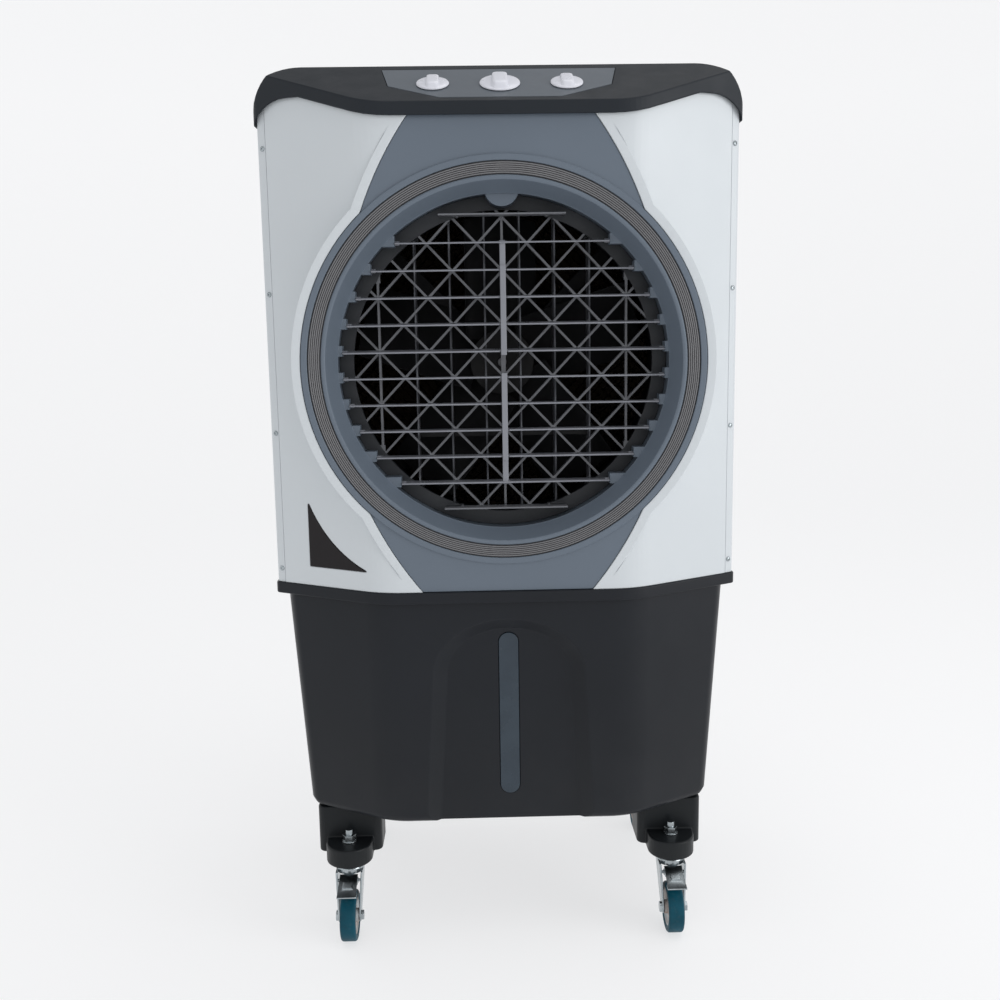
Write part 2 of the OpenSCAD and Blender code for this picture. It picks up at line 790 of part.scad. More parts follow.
// frame at a caster's swivel axis, turned so that its wheel leads away from the middle along -Y
module at_caster(sx, sy) {
    translate([sx * caster_x, sy * caster_y, 0]) rotate([0, 0, sy < 0 ? 0 : 180]) children();
}

module caster_brackets() {
    color([0.11, 0.12, 0.13]) for (sx = [-1, 1], sy = [-1, 1]) at_caster(sx, sy) difference() {
        union() {
            hull() for (x = [-33, 33]) {
                translate([x, 22, boss_z + 4]) cylinder(r = 10, h = tank_bottom - boss_z - 4, $fn = 32);
                translate([x, 62, boss_z + 4]) cylinder(r = 10, h = tank_bottom - boss_z - 4, $fn = 32);
            }
            translate([0, 0, boss_z]) cylinder(r = 31, h = 25);
            block(-31, 31, 0, 24, boss_z, boss_z + 25);
        }
        translate([0, 0, boss_z - 1]) cylinder(r = stem_bolt_r + 0.3, h = 27);
    }
}

module caster_stems() {
    color([0.72, 0.73, 0.75]) for (sx = [-1, 1], sy = [-1, 1]) at_caster(sx, sy) {
        translate([0, 0, head_z - 2.5]) cylinder(r = stem_bolt_r, h = 58.5);
        translate([0, 0, boss_z + 25]) cylinder(r = 10, h = 2);
        translate([0, 0, boss_z + 27]) cylinder(r = 9.2, h = 8, $fn = 6);
        translate([0, 0, boss_z - 3.6]) cylinder(r = 19, h = 3.6);
        translate([0, 0, head_z - 3.5]) cylinder(r = 8.5, h = 3);
    }
}

module fork(pedal) {
    color([0.68, 0.7, 0.72]) difference() {
        union() {
            translate([0, 0, head_z]) cylinder(r = 18.5, h = 6);
            translate([0, 0, head_z + 6 - eps]) cylinder(r1 = 18.5, r2 = 16, h = 4);
            for (s = [-1, 1]) hull() {
                translate([s * 16.7, -3, head_z + 1]) cube([2.4, 32, 5], center = true);
                translate([s * 13.8, -caster_lead, axle_z]) rotate([0, 90, 0])
                    cylinder(r = 8.5, h = 2.2, center = true, $fn = 32);
            }
            translate([0, -caster_lead, axle_z]) {
                rod_x(axle_r, -18, 18);
                translate([14.8, 0, 0]) rotate([0, 90, 0]) cylinder(r = 7, h = 4, $fn = 6);
                translate([-18.4, 0, 0]) rotate([0, 90, 0]) cylinder(r = 7, h = 3.6);
            }
            if (pedal) translate([0, -pedal_pin[0], pedal_pin[1]]) rod_x(2, -16.5, 16.5);
        }
        translate([0, 0, head_z - 5]) cylinder(r = stem_bolt_r + run_gap, h = 20);
    }
}

module wheel() {
    color([0.02, 0.3, 0.36]) translate([0, -caster_lead, axle_z]) rotate([0, 90, 0]) rotate_extrude($fn = 96)
        polygon([[axle_r + run_gap, -11.8], [9, -11.8], [9, -9.5], [23, -9.5], [25, -10.5], [30, -10.5],
            [axle_z - 1, -9.5], [axle_z, -7], [axle_z, 7], [axle_z - 1, 9.5],
            [30, 10.5], [25, 10.5], [23, 9.5],
            [9, 9.5], [9, 11.8], [axle_r + run_gap, 11.8]]);
}

// foot brake: a stamped plate that turns on a pin in the fork, with a pad over the tread
module pedal() {
    fall = 25;
    color([0.55, 0.57, 0.6]) difference() {
        union() {
            translate([0, -19.5, 90.5]) rotate([fall, 0, 0]) {
                block(-12, 12, -30, 0, -2, 0);
                translate([0, -30, 0]) rotate([-8, 0, 0]) block(-13, 13, -8, 0.5, -2, 0);
                block(-6, 6, -24, -14, -eps, 2.4);
            }
            for (s = [-1, 1]) translate([s * 11, 0, 0]) {
                translate([0, -pedal_pin[0], pedal_pin[1]]) rod_x(4, -1, 1);
                translate([-1, -28, 78.5]) cube([2, 12, 6.5]);
            }
            block(-7, 7, -42, -26, 68.2, 81);
        }
        translate([0, -pedal_pin[0], pedal_pin[1]]) rod_x(2 + run_gap, -15, 15);
    }
}

tank();
level_window();
caster_brackets();
caster_stems();
front_casing();
front_bezel();
trim_ring();
outlet_ring();
grille_lattice();
corner_trim();
side_panel_left();
side_panel_right();
top_cover();
control_panel();
rotary_switches();
fan_shroud();
fan_motor();
water_tray();
water_pump();
feed_hose();
casing_screws();
swing_motor();
pad_frame();
cooling_pad();
fill_door();
drain_plug();
speed_knob();
swing_knob();
pump_knob();
fan_impeller();
motor_shaft();
for (k = [1:10]) louvre(k);
tie_bar(1, 5, 1);  // upper_tie_bar
tie_bar(6, 10, 10);  // lower_tie_bar
for (i = [1:6]) vane(i);
vane_link();
at_caster(-1, -1) fork(true);  // fork_front_left
at_caster(1, -1) fork(true);  // fork_front_right
at_caster(-1, 1) fork(false);  // fork_rear_left
at_caster(1, 1) fork(false);  // fork_rear_right
at_caster(-1, -1) wheel();  // wheel_front_left
at_caster(1, -1) wheel();  // wheel_front_right
at_caster(-1, 1) wheel();  // wheel_rear_left
at_caster(1, 1) wheel();  // wheel_rear_right
at_caster(-1, -1) pedal();  // pedal_left
at_caster(1, -1) pedal();  // pedal_right
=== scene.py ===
"""A mobile evaporative cooler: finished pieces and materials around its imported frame.

Each operator makes one piece or a group of like pieces, and the stage operator makes the floor,
lights and camera.
"""

import json
import math

import bmesh
import bpy
from bpy.props import FloatProperty, FloatVectorProperty, IntProperty, PointerProperty
from mathutils import Matrix, Vector


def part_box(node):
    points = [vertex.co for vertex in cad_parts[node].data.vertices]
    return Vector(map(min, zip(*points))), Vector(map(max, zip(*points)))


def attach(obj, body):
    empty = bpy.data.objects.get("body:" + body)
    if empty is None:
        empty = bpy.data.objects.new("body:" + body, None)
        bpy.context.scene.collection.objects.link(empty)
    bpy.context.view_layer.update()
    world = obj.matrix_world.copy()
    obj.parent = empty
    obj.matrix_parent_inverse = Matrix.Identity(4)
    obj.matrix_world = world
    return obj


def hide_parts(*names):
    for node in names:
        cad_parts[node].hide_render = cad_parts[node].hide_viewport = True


bl_info = {
    "name": "Evaporative Cooler",
    "version": (1, 0, 0),
    "blender": (4, 5, 0),
    "location": "View3D > Sidebar > Cooler",
    "description": "Builds the finished pieces of a mobile evaporative cooler around its frame",
    "category": "Object",
}

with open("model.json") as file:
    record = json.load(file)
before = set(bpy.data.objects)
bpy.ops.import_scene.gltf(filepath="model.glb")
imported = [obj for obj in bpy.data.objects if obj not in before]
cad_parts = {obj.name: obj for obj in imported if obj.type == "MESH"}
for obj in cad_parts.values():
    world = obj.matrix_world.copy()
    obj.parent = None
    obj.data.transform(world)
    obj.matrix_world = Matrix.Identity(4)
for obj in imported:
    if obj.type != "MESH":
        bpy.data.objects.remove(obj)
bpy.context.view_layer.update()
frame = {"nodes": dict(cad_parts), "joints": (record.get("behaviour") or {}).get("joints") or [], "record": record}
NODES = frame["nodes"]
RECORD = frame["record"]
BODY_OF = {node: body for body, members in RECORD["behaviour"]["bodies"].items() for node in members}
SLOT_OF = {part["node"]: part["material_slot"] for part in RECORD["subparts"]}
MM = 0.001
RING_WIDTH = 15.6 * MM
LATTICE_SHADE_RADIUS = 187.5 * MM
GRIP_RISE = 0.28
TURN_STEPS = 96
LAMP_TARGET = Vector((0, 0, 0.6))
CAMERA_PLACE = (-0.0356, -1.4812, 0.7948)
CAMERA_LENS = 38


# ---------------------------------------------------------------- sizes and colours a user may change


class CoolerShell(bpy.types.PropertyGroup):
    """Sizes and colours of the casing, cover and tank."""

    edge: FloatProperty(
        name="Moulded edge", description="Radius of the shells' edges",
        default=0.0009, min=0.0002, max=0.003, unit="LENGTH",
    )
    white: FloatVectorProperty(
        name="White", description="Colour of the casing",
        default=(0.565, 0.60, 0.625), min=0, max=1, subtype="COLOR",
    )
    tank: FloatVectorProperty(
        name="Tank", description="Colour of the water tank",
        default=(0.010, 0.0118, 0.0155), min=0, max=1, subtype="COLOR",
    )
    cover: FloatVectorProperty(
        name="Cover", description="Colour of the top cover",
        default=(0.010, 0.0135, 0.0185), min=0, max=1, subtype="COLOR",
    )
    bezel: FloatVectorProperty(
        name="Bezel", description="Colour of the front bezel",
        default=(0.118, 0.145, 0.18), min=0, max=1, subtype="COLOR",
    )


class CoolerOutlet(bpy.types.PropertyGroup):
    """Sizes and colours of the outlet."""

    ribs: IntProperty(name="Ribs", description="Fine ribs on the trim ring", default=6, min=4, max=12)
    rib_radius: FloatProperty(
        name="Rib radius", description="Radius of one rib",
        default=0.00085, min=0.0003, max=0.0009, unit="LENGTH",
    )
    louvre: FloatVectorProperty(
        name="Louvre", description="Colour of the louvres",
        default=(0.2, 0.208, 0.235), min=0, max=1, subtype="COLOR",
    )


class CoolerPad(bpy.types.PropertyGroup):
    """The corrugated wet pad."""

    sheet_pitch: FloatProperty(
        name="Sheet pitch", description="Distance between paper sheets",
        default=0.0072, min=0.005, max=0.012, unit="LENGTH",
    )
    flute: FloatProperty(
        name="Flute length", description="Length of one corrugation",
        default=0.015, min=0.01, max=0.02, unit="LENGTH",
    )


class CoolerCasters(bpy.types.PropertyGroup):
    """Casters."""

    tyre: FloatVectorProperty(
        name="Tyre", description="Colour of the tyres",
        default=(0.0, 0.055, 0.085), min=0, max=1, subtype="COLOR",
    )


class CoolerSettings(bpy.types.PropertyGroup):
    """All settings of the cooler."""

    shell: PointerProperty(type=CoolerShell)
    outlet: PointerProperty(type=CoolerOutlet)
    pad: PointerProperty(type=CoolerPad)
    casters: PointerProperty(type=CoolerCasters)


# ---------------------------------------------------------------- materials

made_materials = {}


def shader(name):
    """A new material with its nodes, its links and its main shader."""
    material = bpy.data.materials.new(name)
    material.use_nodes = True
    tree = material.node_tree
    return material, tree.nodes, tree.links, tree.nodes["Principled BSDF"]


def cloud(nodes, links, coords, scale, detail=3.0, stretch=None):
    """A noise factor over the piece. stretch scales the axes of the pattern."""
    source = coords.outputs["Object"]
    if stretch:
        mapping = nodes.new("ShaderNodeMapping")
        mapping.inputs["Scale"].default_value = stretch
        links.new(source, mapping.inputs["Vector"])
        source = mapping.outputs["Vector"]
    noise = nodes.new("ShaderNodeTexNoise")
    noise.inputs["Scale"].default_value = scale
    noise.inputs["Detail"].default_value = detail
    links.new(source, noise.inputs["Vector"])
    return noise.outputs["Fac"]


def ranged(nodes, links, factor, low, high, start=0.3, stop=0.7):
    """factor mapped from start..stop to low..high."""
    node = nodes.new("ShaderNodeMapRange")
    node.inputs["From Min"].default_value = start
    node.inputs["From Max"].default_value = stop
    node.inputs["To Min"].default_value = low
    node.inputs["To Max"].default_value = high
    links.new(factor, node.inputs["Value"])
    return node.outputs["Result"]


def blended(nodes, links, factor, first, second):
    """A colour between first and second. Each is a colour or a socket."""
    mix = nodes.new("ShaderNodeMix")
    mix.data_type = "RGBA"
    links.new(factor, mix.inputs["Factor"])
    for socket, value in ((mix.inputs[6], first), (mix.inputs[7], second)):
        if isinstance(value, bpy.types.NodeSocket):
            links.new(value, socket)
        else:
            socket.default_value = (*value, 1)
    return mix.outputs[2]


def bumped(nodes, links, bsdf, heights):
    """Bump from several (factor, strength, distance) layers in turn."""
    normal = None
    for factor, strength, distance in heights:
        bump = nodes.new("ShaderNodeBump")
        bump.inputs["Strength"].default_value = strength
        bump.inputs["Distance"].default_value = distance
        links.new(factor, bump.inputs["Height"])
        if normal:
            links.new(normal, bump.inputs["Normal"])
        normal = bump.outputs["Normal"]
    links.new(normal, bsdf.inputs["Normal"])


def times(colour, k):
    """colour made k times as bright."""
    return tuple(min(1.0, c * k) for c in colour)


def height_mask(nodes, links, coords, low, high, inside, outside):
    """A factor that runs from inside at height low to outside at height high."""
    split = nodes.new("ShaderNodeSeparateXYZ")
    links.new(coords.outputs["Object"], split.inputs["Vector"])
    return ranged(nodes, links, split.outputs["Z"], inside, outside, low, high)


def moulded(name, colour, rough, mottle=0.05, grain=1400.0, depth=0.15, coat=0.0, shine=0.5, dust=None):
    """Injection-moulded plastic: slow tone variation, fine surface texture, and dust towards the floor."""
    material, nodes, links, bsdf = shader(name)
    coords = nodes.new("ShaderNodeTexCoord")
    slow = cloud(nodes, links, coords, 5.0, 5.0)
    fine = cloud(nodes, links, coords, grain, 2.0)
    handled = cloud(nodes, links, coords, 26.0, 6.0)
    change = ranged(nodes, links, slow, 0, 1)
    tone = blended(nodes, links, change, times(colour, 1 - mottle), times(colour, 1 + mottle))
    if dust:
        dust_colour, amount, top = dust
        low = height_mask(nodes, links, coords, 0.0, top, amount, 0.0)
        patch = nodes.new("ShaderNodeMath")
        patch.operation = "MULTIPLY"
        links.new(low, patch.inputs[0])
        links.new(ranged(nodes, links, handled, 0.4, 1.0), patch.inputs[1])
        tone = blended(nodes, links, patch.outputs["Value"], tone, dust_colour)
    links.new(tone, bsdf.inputs["Base Color"])
    links.new(ranged(nodes, links, handled, rough - 0.05, rough + 0.08), bsdf.inputs["Roughness"])
    bsdf.inputs["Specular IOR Level"].default_value = shine
    bsdf.inputs["Coat Weight"].default_value = coat
    bsdf.inputs["Coat Roughness"].default_value = 0.18
    wave = cloud(nodes, links, coords, 38.0, 2.0)
    bumped(nodes, links, bsdf, [(wave, 0.05, 0.0006), (fine, depth, 0.0001)])
    return material


def plated_steel(name, colour, rough):
    """Zinc-plated steel: slow tone changes, fine scratches and a little white bloom."""
    material, nodes, links, bsdf = shader(name)
    coords = nodes.new("ShaderNodeTexCoord")
    blotch = cloud(nodes, links, coords, 45.0, 3.0)
    scratch = cloud(nodes, links, coords, 700.0, 3.0, (1.0, 6.0, 1.0))
    bloom = cloud(nodes, links, coords, 90.0, 6.0)
    tone = blended(nodes, links, ranged(nodes, links, blotch, 0, 1), times(colour, 0.82), times(colour, 1.1))
    tone = blended(nodes, links, ranged(nodes, links, bloom, 0.0, 0.14, 0.6, 0.8), tone, (0.62, 0.6, 0.56))
    links.new(tone, bsdf.inputs["Base Color"])
    bsdf.inputs["Metallic"].default_value = 1.0
    links.new(ranged(nodes, links, blotch, rough - 0.04, rough + 0.08), bsdf.inputs["Roughness"])
    bumped(nodes, links, bsdf, [(scratch, 0.05, 0.0001)])
    return material


def tyre_rubber(name, colour):
    """Coloured rubber with a dusty bloom and small scuffs."""
    material, nodes, links, bsdf = shader(name)
    coords = nodes.new("ShaderNodeTexCoord")
    scuff = cloud(nodes, links, coords, 220.0, 6.0)
    slow = cloud(nodes, links, coords, 45.0, 4.0)
    tone = blended(nodes, links, ranged(nodes, links, slow, 0, 1), times(colour, 0.75), times(colour, 1.2))
    tone = blended(nodes, links, ranged(nodes, links, scuff, 0.0, 0.12, 0.55, 0.75), tone, (0.12, 0.13, 0.13))
    bsdf.inputs["Specular IOR Level"].default_value = 0.2
    links.new(tone, bsdf.inputs["Base Color"])
    links.new(ranged(nodes, links, scuff, 0.4, 0.62), bsdf.inputs["Roughness"])
    bumped(nodes, links, bsdf, [(scuff, 0.2, 0.0002)])
    return material


def smoked_window(name):
    """Smoked blue-grey plastic of the level window, with a milky inside."""
    material, nodes, links, bsdf = shader(name)
    coords = nodes.new("ShaderNodeTexCoord")
    slow = cloud(nodes, links, coords, 30.0, 4.0)
    smoke, haze = (0.020, 0.032, 0.046), (0.027, 0.042, 0.058)
    tone = blended(nodes, links, ranged(nodes, links, slow, 0, 1), smoke, haze)
    links.new(tone, bsdf.inputs["Base Color"])
    links.new(ranged(nodes, links, slow, 0.2, 0.34), bsdf.inputs["Roughness"])
    bsdf.inputs["Specular IOR Level"].default_value = 0.35
    bsdf.inputs["Coat Weight"].default_value = 0.12
    bsdf.inputs["Coat Roughness"].default_value = 0.12
    bumped(nodes, links, bsdf, [(cloud(nodes, links, coords, 60.0, 2.0), 0.08, 0.0004)])
    return material


def pad_paper(name, light):
    """Resin-treated brown paper with mineral stains, light times as bright as when it is dry; a low light stands
    for wet paper with painted shade deep in the pad.
    """
    material, nodes, links, bsdf = shader(name)
    coords = nodes.new("ShaderNodeTexCoord")
    fibre = cloud(nodes, links, coords, 900.0, 5.0, (1.0, 1.0, 0.2))
    stain = cloud(nodes, links, coords, 9.0, 5.0)
    browns = ((0.24, 0.14, 0.06), (0.40, 0.26, 0.13), (0.46, 0.38, 0.27))
    dry, pale, mineral = (times(brown, light) for brown in browns)
    tone = blended(nodes, links, ranged(nodes, links, fibre, 0, 1), dry, pale)
    tone = blended(nodes, links, ranged(nodes, links, stain, 0.0, 0.5, 0.5, 0.75), tone, mineral)
    links.new(tone, bsdf.inputs["Base Color"])
    links.new(ranged(nodes, links, fibre, 0.75, 0.95), bsdf.inputs["Roughness"])
    bumped(nodes, links, bsdf, [(fibre, 0.3, 0.0002)])
    return material


def hub_plastic(name):
    """Light grey wheel hub, tinted by rust from the axle."""
    material, nodes, links, bsdf = shader(name)
    coords = nodes.new("ShaderNodeTexCoord")
    patch = cloud(nodes, links, coords, 55.0, 5.0)
    rust = ranged(nodes, links, patch, 0.0, 0.75, 0.42, 0.7)
    tone = blended(nodes, links, rust, (0.42, 0.45, 0.46), (0.30, 0.12, 0.04))
    links.new(tone, bsdf.inputs["Base Color"])
    links.new(ranged(nodes, links, patch, 0.35, 0.6), bsdf.inputs["Roughness"])
    bumped(nodes, links, bsdf, [(cloud(nodes, links, coords, 600.0, 2.0), 0.1, 0.0001)])
    return material


def make_materials(settings):
    """One material for each of the record's slots, and the extra finishes."""
    shell, outlet = settings.shell, settings.outlet
    grey_dust = (0.12, 0.115, 0.1)
    tank_dust, caster_dust = (grey_dust, 0.08, 0.35), (grey_dust, 0.1, 0.2)
    made_materials.update(
        white_plastic=moulded("white_abs", tuple(shell.white), 0.33, 0.015, 900.0, 0.05, 0.1, 0.4),
        tank_plastic=moulded("tank_grained", tuple(shell.tank), 0.34, 0.1, 1200.0, 0.1, 0.02, 0.2, tank_dust),
        cover_grey=moulded("cover_grained", tuple(shell.cover), 0.44, 0.06, 1500.0, 0.25, 0.0, 0.26),
        bezel_grey=moulded("bezel_satin", tuple(shell.bezel), 0.4, 0.03, 1500.0, 0.15, 0.0, 0.32),
        # Trim ring base near black and its ribs lighter: painted shade in the grooves of one moulding.
        ring_grey=moulded("trim_ring_groove", (0.03, 0.031, 0.034), 0.4, 0.05, 1500.0, 0.1, 0.0, 0.2),
        ring_rib=moulded("trim_ring_rib", (0.165, 0.165, 0.172), 0.3, 0.03, 300.0, 0.0, 0.0, 0.4),
        panel_grey=moulded("control_panel_satin", (0.102, 0.118, 0.138), 0.36, 0.03, 1500.0, 0.12, 0.0, 0.32),
        louvre_grey=moulded("louvre_satin", tuple(outlet.louvre), 0.3, 0.05, 1300.0, 0.1, 0.1, 0.6),
        dark_grille=moulded("grille_satin", (0.15, 0.155, 0.17), 0.36, 0.06, 1300.0, 0.12),
        inner_grey=moulded("vane_satin", (0.12, 0.125, 0.14), 0.38, 0.06, 1300.0, 0.12),
        # Near black grille rim: painted shade where the lattice stands in the duct.
        rim_dark=moulded("grille_rim", (0.035, 0.038, 0.043), 0.42, 0.06, 1300.0, 0.12, 0.0, 0.3),
        trim_dark=moulded("corner_trim_smoked", (0.007, 0.005, 0.006), 0.2, 0.1, 900.0, 0.03, 0.08, 0.2),
        knob_white=moulded("knob_satin", (0.68, 0.69, 0.75), 0.28, 0.02, 900.0, 0.04, 0.25),
        black_plastic=moulded("black_nylon", (0.01, 0.01, 0.011), 0.45, 0.1, 1300.0, 0.2, 0.0, 0.25),
        caster_plastic=moulded(
            "caster_black", (0.007, 0.009, 0.011), 0.4, 0.12, 1400.0, 0.3, 0.0, 0.22, caster_dust
        ),
        painted_grey=moulded("shroud_paint", (0.008, 0.008, 0.009), 0.55, 0.08, 500.0, 0.2, 0.0, 0.15),
        plug_rubber=moulded("plug_rubber", (0.012, 0.012, 0.013), 0.6, 0.1, 1100.0, 0.3, 0.0, 0.25),
        hose=moulded("hose_vinyl", (0.58, 0.6, 0.62), 0.3, 0.05, 700.0, 0.05, 0.2),
        zinc_steel=plated_steel("zinc_plated_steel", (0.40, 0.44, 0.46), 0.2),
        motor_steel=plated_steel("motor_steel", (0.16, 0.16, 0.17), 0.42),
        wheel_teal=tyre_rubber("teal_rubber", tuple(settings.casters.tyre)),
        smoked_window=smoked_window("level_window_smoked"),
        pad_paper=pad_paper("pad_paper", 1.0),
        # Wet paper painted far darker: wet paper and painted shade deep inside the pad.
        wet_paper=pad_paper("pad_paper_wet", 0.12),
        wheel_hub=hub_plastic("wheel_hub"),
    )


# ---------------------------------------------------------------- mesh tools


def merged(node):
    """A merged copy of a frame node's mesh."""
    bm = bmesh.new()
    bm.from_mesh(NODES[node].data)
    bmesh.ops.remove_doubles(bm, verts=bm.verts, dist=8e-6)
    bmesh.ops.dissolve_degenerate(bm, dist=5e-6, edges=bm.edges)
    return bm


def object_of(bm, name):
    """An object holding bm, at the origin."""
    mesh = bpy.data.meshes.new(name)
    bm.to_mesh(mesh)
    bm.free()
    obj = bpy.data.objects.new(name, mesh)
    bpy.context.scene.collection.objects.link(obj)
    return obj


def applied(obj):
    """obj with its modifiers baked into a plain mesh."""
    depsgraph = bpy.context.evaluated_depsgraph_get()
    mesh = bpy.data.meshes.new_from_object(obj.evaluated_get(depsgraph), depsgraph=depsgraph)
    obj.modifiers.clear()
    obj.data = mesh
    mesh.name = obj.name
    return obj


def shaded(obj, angle=32):
    """Smooth faces that meet at less than angle degrees."""
    mesh = obj.data
    mesh.polygons.foreach_set("use_smooth", [True] * len(mesh.polygons))
    mesh.set_sharp_from_angle(angle=math.radians(angle))
    return obj


def rounded(obj, width, segments=2, angle=32):
    """Rounds obj's sharp edges and evens its shading."""
    shaded(obj, angle)
    bevel = obj.modifiers.new("edges", "BEVEL")
    bevel.width = width
    bevel.segments = segments
    bevel.limit_method = "ANGLE"
    bevel.angle_limit = math.radians(angle)
    bevel.use_clamp_overlap = False
    bevel.loop_slide = False
    bevel.miter_outer = "MITER_ARC"
    weighted = obj.modifiers.new("shading", "WEIGHTED_NORMAL")
    weighted.keep_sharp = True
    return applied(obj)


def painted(obj, *materials):
    """obj with these materials only."""
    obj.data.materials.clear()
    for material in materials:
        obj.data.materials.append(made_materials[material])
    return obj


def mounted(obj, node, also=()):
    """obj rides on node's body and stands for node."""
    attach(obj, BODY_OF[node])
    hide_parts(node, *also)
    return obj


def finished(node, edge, material=None, segments=2, angle=32):
    """The refined piece of a node: its own shape with rounded edges."""
    obj = object_of(merged(node), node + "_piece")
    rounded(obj, edge, segments, angle)
    painted(obj, material or SLOT_OF[node])
    return mounted(obj, node)


def lathe(profile, steps, closed=True):
    """A mesh turned about local Z from (radius, height) points, outward when they run anticlockwise."""
    bm = bmesh.new()
    rings = []
    for i in range(steps):
        a = 2 * math.pi * i / steps
        rings.append([bm.verts.new((r * math.cos(a), r * math.sin(a), z)) for r, z in profile])
    count = len(profile)
    for i in range(steps):
        here, there = rings[i], rings[(i + 1) % steps]
        for k in range(count if closed else count - 1):
            m = (k + 1) % count
            bm.faces.new((here[k], there[k], there[m], here[m]))
    bmesh.ops.remove_doubles(bm, verts=bm.verts, dist=1e-7)
    bmesh.ops.recalc_face_normals(bm, faces=bm.faces)
    return bm


def placed(bm, matrix):
    """bm moved by matrix."""
    bmesh.ops.transform(bm, matrix=matrix, verts=bm.verts)
    return bm


def joined(first, *others):
    """first with the geometry of the others added."""
    for other in others:
        mesh = bpy.data.meshes.new("joint")
        other.to_mesh(mesh)
        other.free()
        first.from_mesh(mesh)
        bpy.data.meshes.remove(mesh)
    return first


def centre(node):
    """The middle of a node's box."""
    low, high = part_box(node)
    return (low + high) / 2


def arc_points(cx, cy, r, start, stop, count):
    """Points on an arc, angles in degrees."""
    step = (stop - start) / count
    return [
        (cx + r * math.cos(math.radians(a)), cy + r * math.sin(math.radians(a)))
        for a in (start + step * i for i in range(count + 1))
    ]


# ---------------------------------------------------------------- geometry node tools


def node_tree(name, sockets):
    """A geometry tree with named inputs and its output, and a table of the inputs' identifiers."""
    tree = bpy.data.node_groups.new(name, "GeometryNodeTree")
    tree.interface.new_socket("Geometry", in_out="INPUT", socket_type="NodeSocketGeometry")
    for label, kind in sockets:
        tree.interface.new_socket(label, in_out="INPUT", socket_type=kind)
    tree.interface.new_socket("Geometry", in_out="OUTPUT", socket_type="NodeSocketGeometry")
    identifiers = {s.name: s.identifier for s in tree.interface.items_tree if s.in_out == "INPUT"}
    return tree, tree.nodes.new("NodeGroupInput"), tree.nodes.new("NodeGroupOutput"), identifiers


def grown(obj, tree, identifiers, values):
    """obj after the tree has run on it with these input values, as a plain mesh."""
    modifier = obj.modifiers.new("tree", "NODES")
    modifier.node_group = tree
    for label, value in values.items():
        modifier[identifiers[label]] = value
    return applied(obj)


def ending(tree, geometry, output, material):
    """Realize Instances and Set Material at a tree's end."""
    real = tree.nodes.new("GeometryNodeRealizeInstances")
    paint = tree.nodes.new("GeometryNodeSetMaterial")
    paint.inputs["Material"].default_value = material
    tree.links.new(geometry, real.inputs["Geometry"])
    tree.links.new(real.outputs["Geometry"], paint.inputs["Geometry"])
    tree.links.new(paint.outputs["Geometry"], output.inputs["Geometry"])


def rib_tree(material):
    """Concentric round ribs: circles of growing radius swept with a round section."""
    tree, inp, out, ids = node_tree(
        "trim_ribs",
        [
            ("Count", "NodeSocketInt"),
            ("Inner", "NodeSocketFloat"),
            ("Pitch", "NodeSocketFloat"),
            ("Rib Radius", "NodeSocketFloat"),
        ],
    )
    new, link = tree.nodes.new, tree.links.new
    line = new("GeometryNodeMeshLine")
    line.mode = "OFFSET"
    link(inp.outputs["Count"], line.inputs["Count"])
    circle = new("GeometryNodeCurvePrimitiveCircle")
    circle.inputs["Resolution"].default_value = 220
    circle.inputs["Radius"].default_value = 1.0
    index = new("GeometryNodeInputIndex")
    step = new("ShaderNodeMath")
    step.operation = "MULTIPLY_ADD"
    link(index.outputs["Index"], step.inputs[0])
    link(inp.outputs["Pitch"], step.inputs[1])
    link(inp.outputs["Inner"], step.inputs[2])
    line.inputs["Offset"].default_value = (0, 0, 0)
    instances = new("GeometryNodeInstanceOnPoints")
    link(line.outputs["Mesh"], instances.inputs["Points"])
    link(circle.outputs["Curve"], instances.inputs["Instance"])
    link(step.outputs["Value"], instances.inputs["Scale"])
    real = new("GeometryNodeRealizeInstances")
    link(instances.outputs["Instances"], real.inputs["Geometry"])
    section = new("GeometryNodeCurvePrimitiveCircle")
    section.inputs["Resolution"].default_value = 8
    link(inp.outputs["Rib Radius"], section.inputs["Radius"])
    sweep = new("GeometryNodeCurveToMesh")
    link(real.outputs["Geometry"], sweep.inputs["Curve"])
    link(section.outputs["Curve"], sweep.inputs["Profile Curve"])
    smooth = new("GeometryNodeSetShadeSmooth")
    link(sweep.outputs["Mesh"], smooth.inputs["Geometry"])
    ending(tree, smooth.outputs["Geometry"], out, material)
    return tree, ids


def copies_tree(name, prototype, material):
    """The prototype at every vertex, its Z axis along the vertex's aim attribute."""
    tree, inp, out, ids = node_tree(name, [("Scale", "NodeSocketFloat")])
    new, link = tree.nodes.new, tree.links.new
    shape = new("GeometryNodeObjectInfo")
    shape.inputs["Object"].default_value = prototype
    aim = new("GeometryNodeInputNamedAttribute")
    aim.data_type = "FLOAT_VECTOR"
    aim.inputs["Name"].default_value = "aim"
    turn = new("FunctionNodeAlignEulerToVector")
    turn.axis = "Z"
    link(aim.outputs["Attribute"], turn.inputs["Vector"])
    instances = new("GeometryNodeInstanceOnPoints")
    link(inp.outputs["Geometry"], instances.inputs["Points"])
    link(shape.outputs["Geometry"], instances.inputs["Instance"])
    link(turn.outputs["Rotation"], instances.inputs["Rotation"])
    link(inp.outputs["Scale"], instances.inputs["Scale"])
    ending(tree, instances.outputs["Instances"], out, material)
    return tree, ids


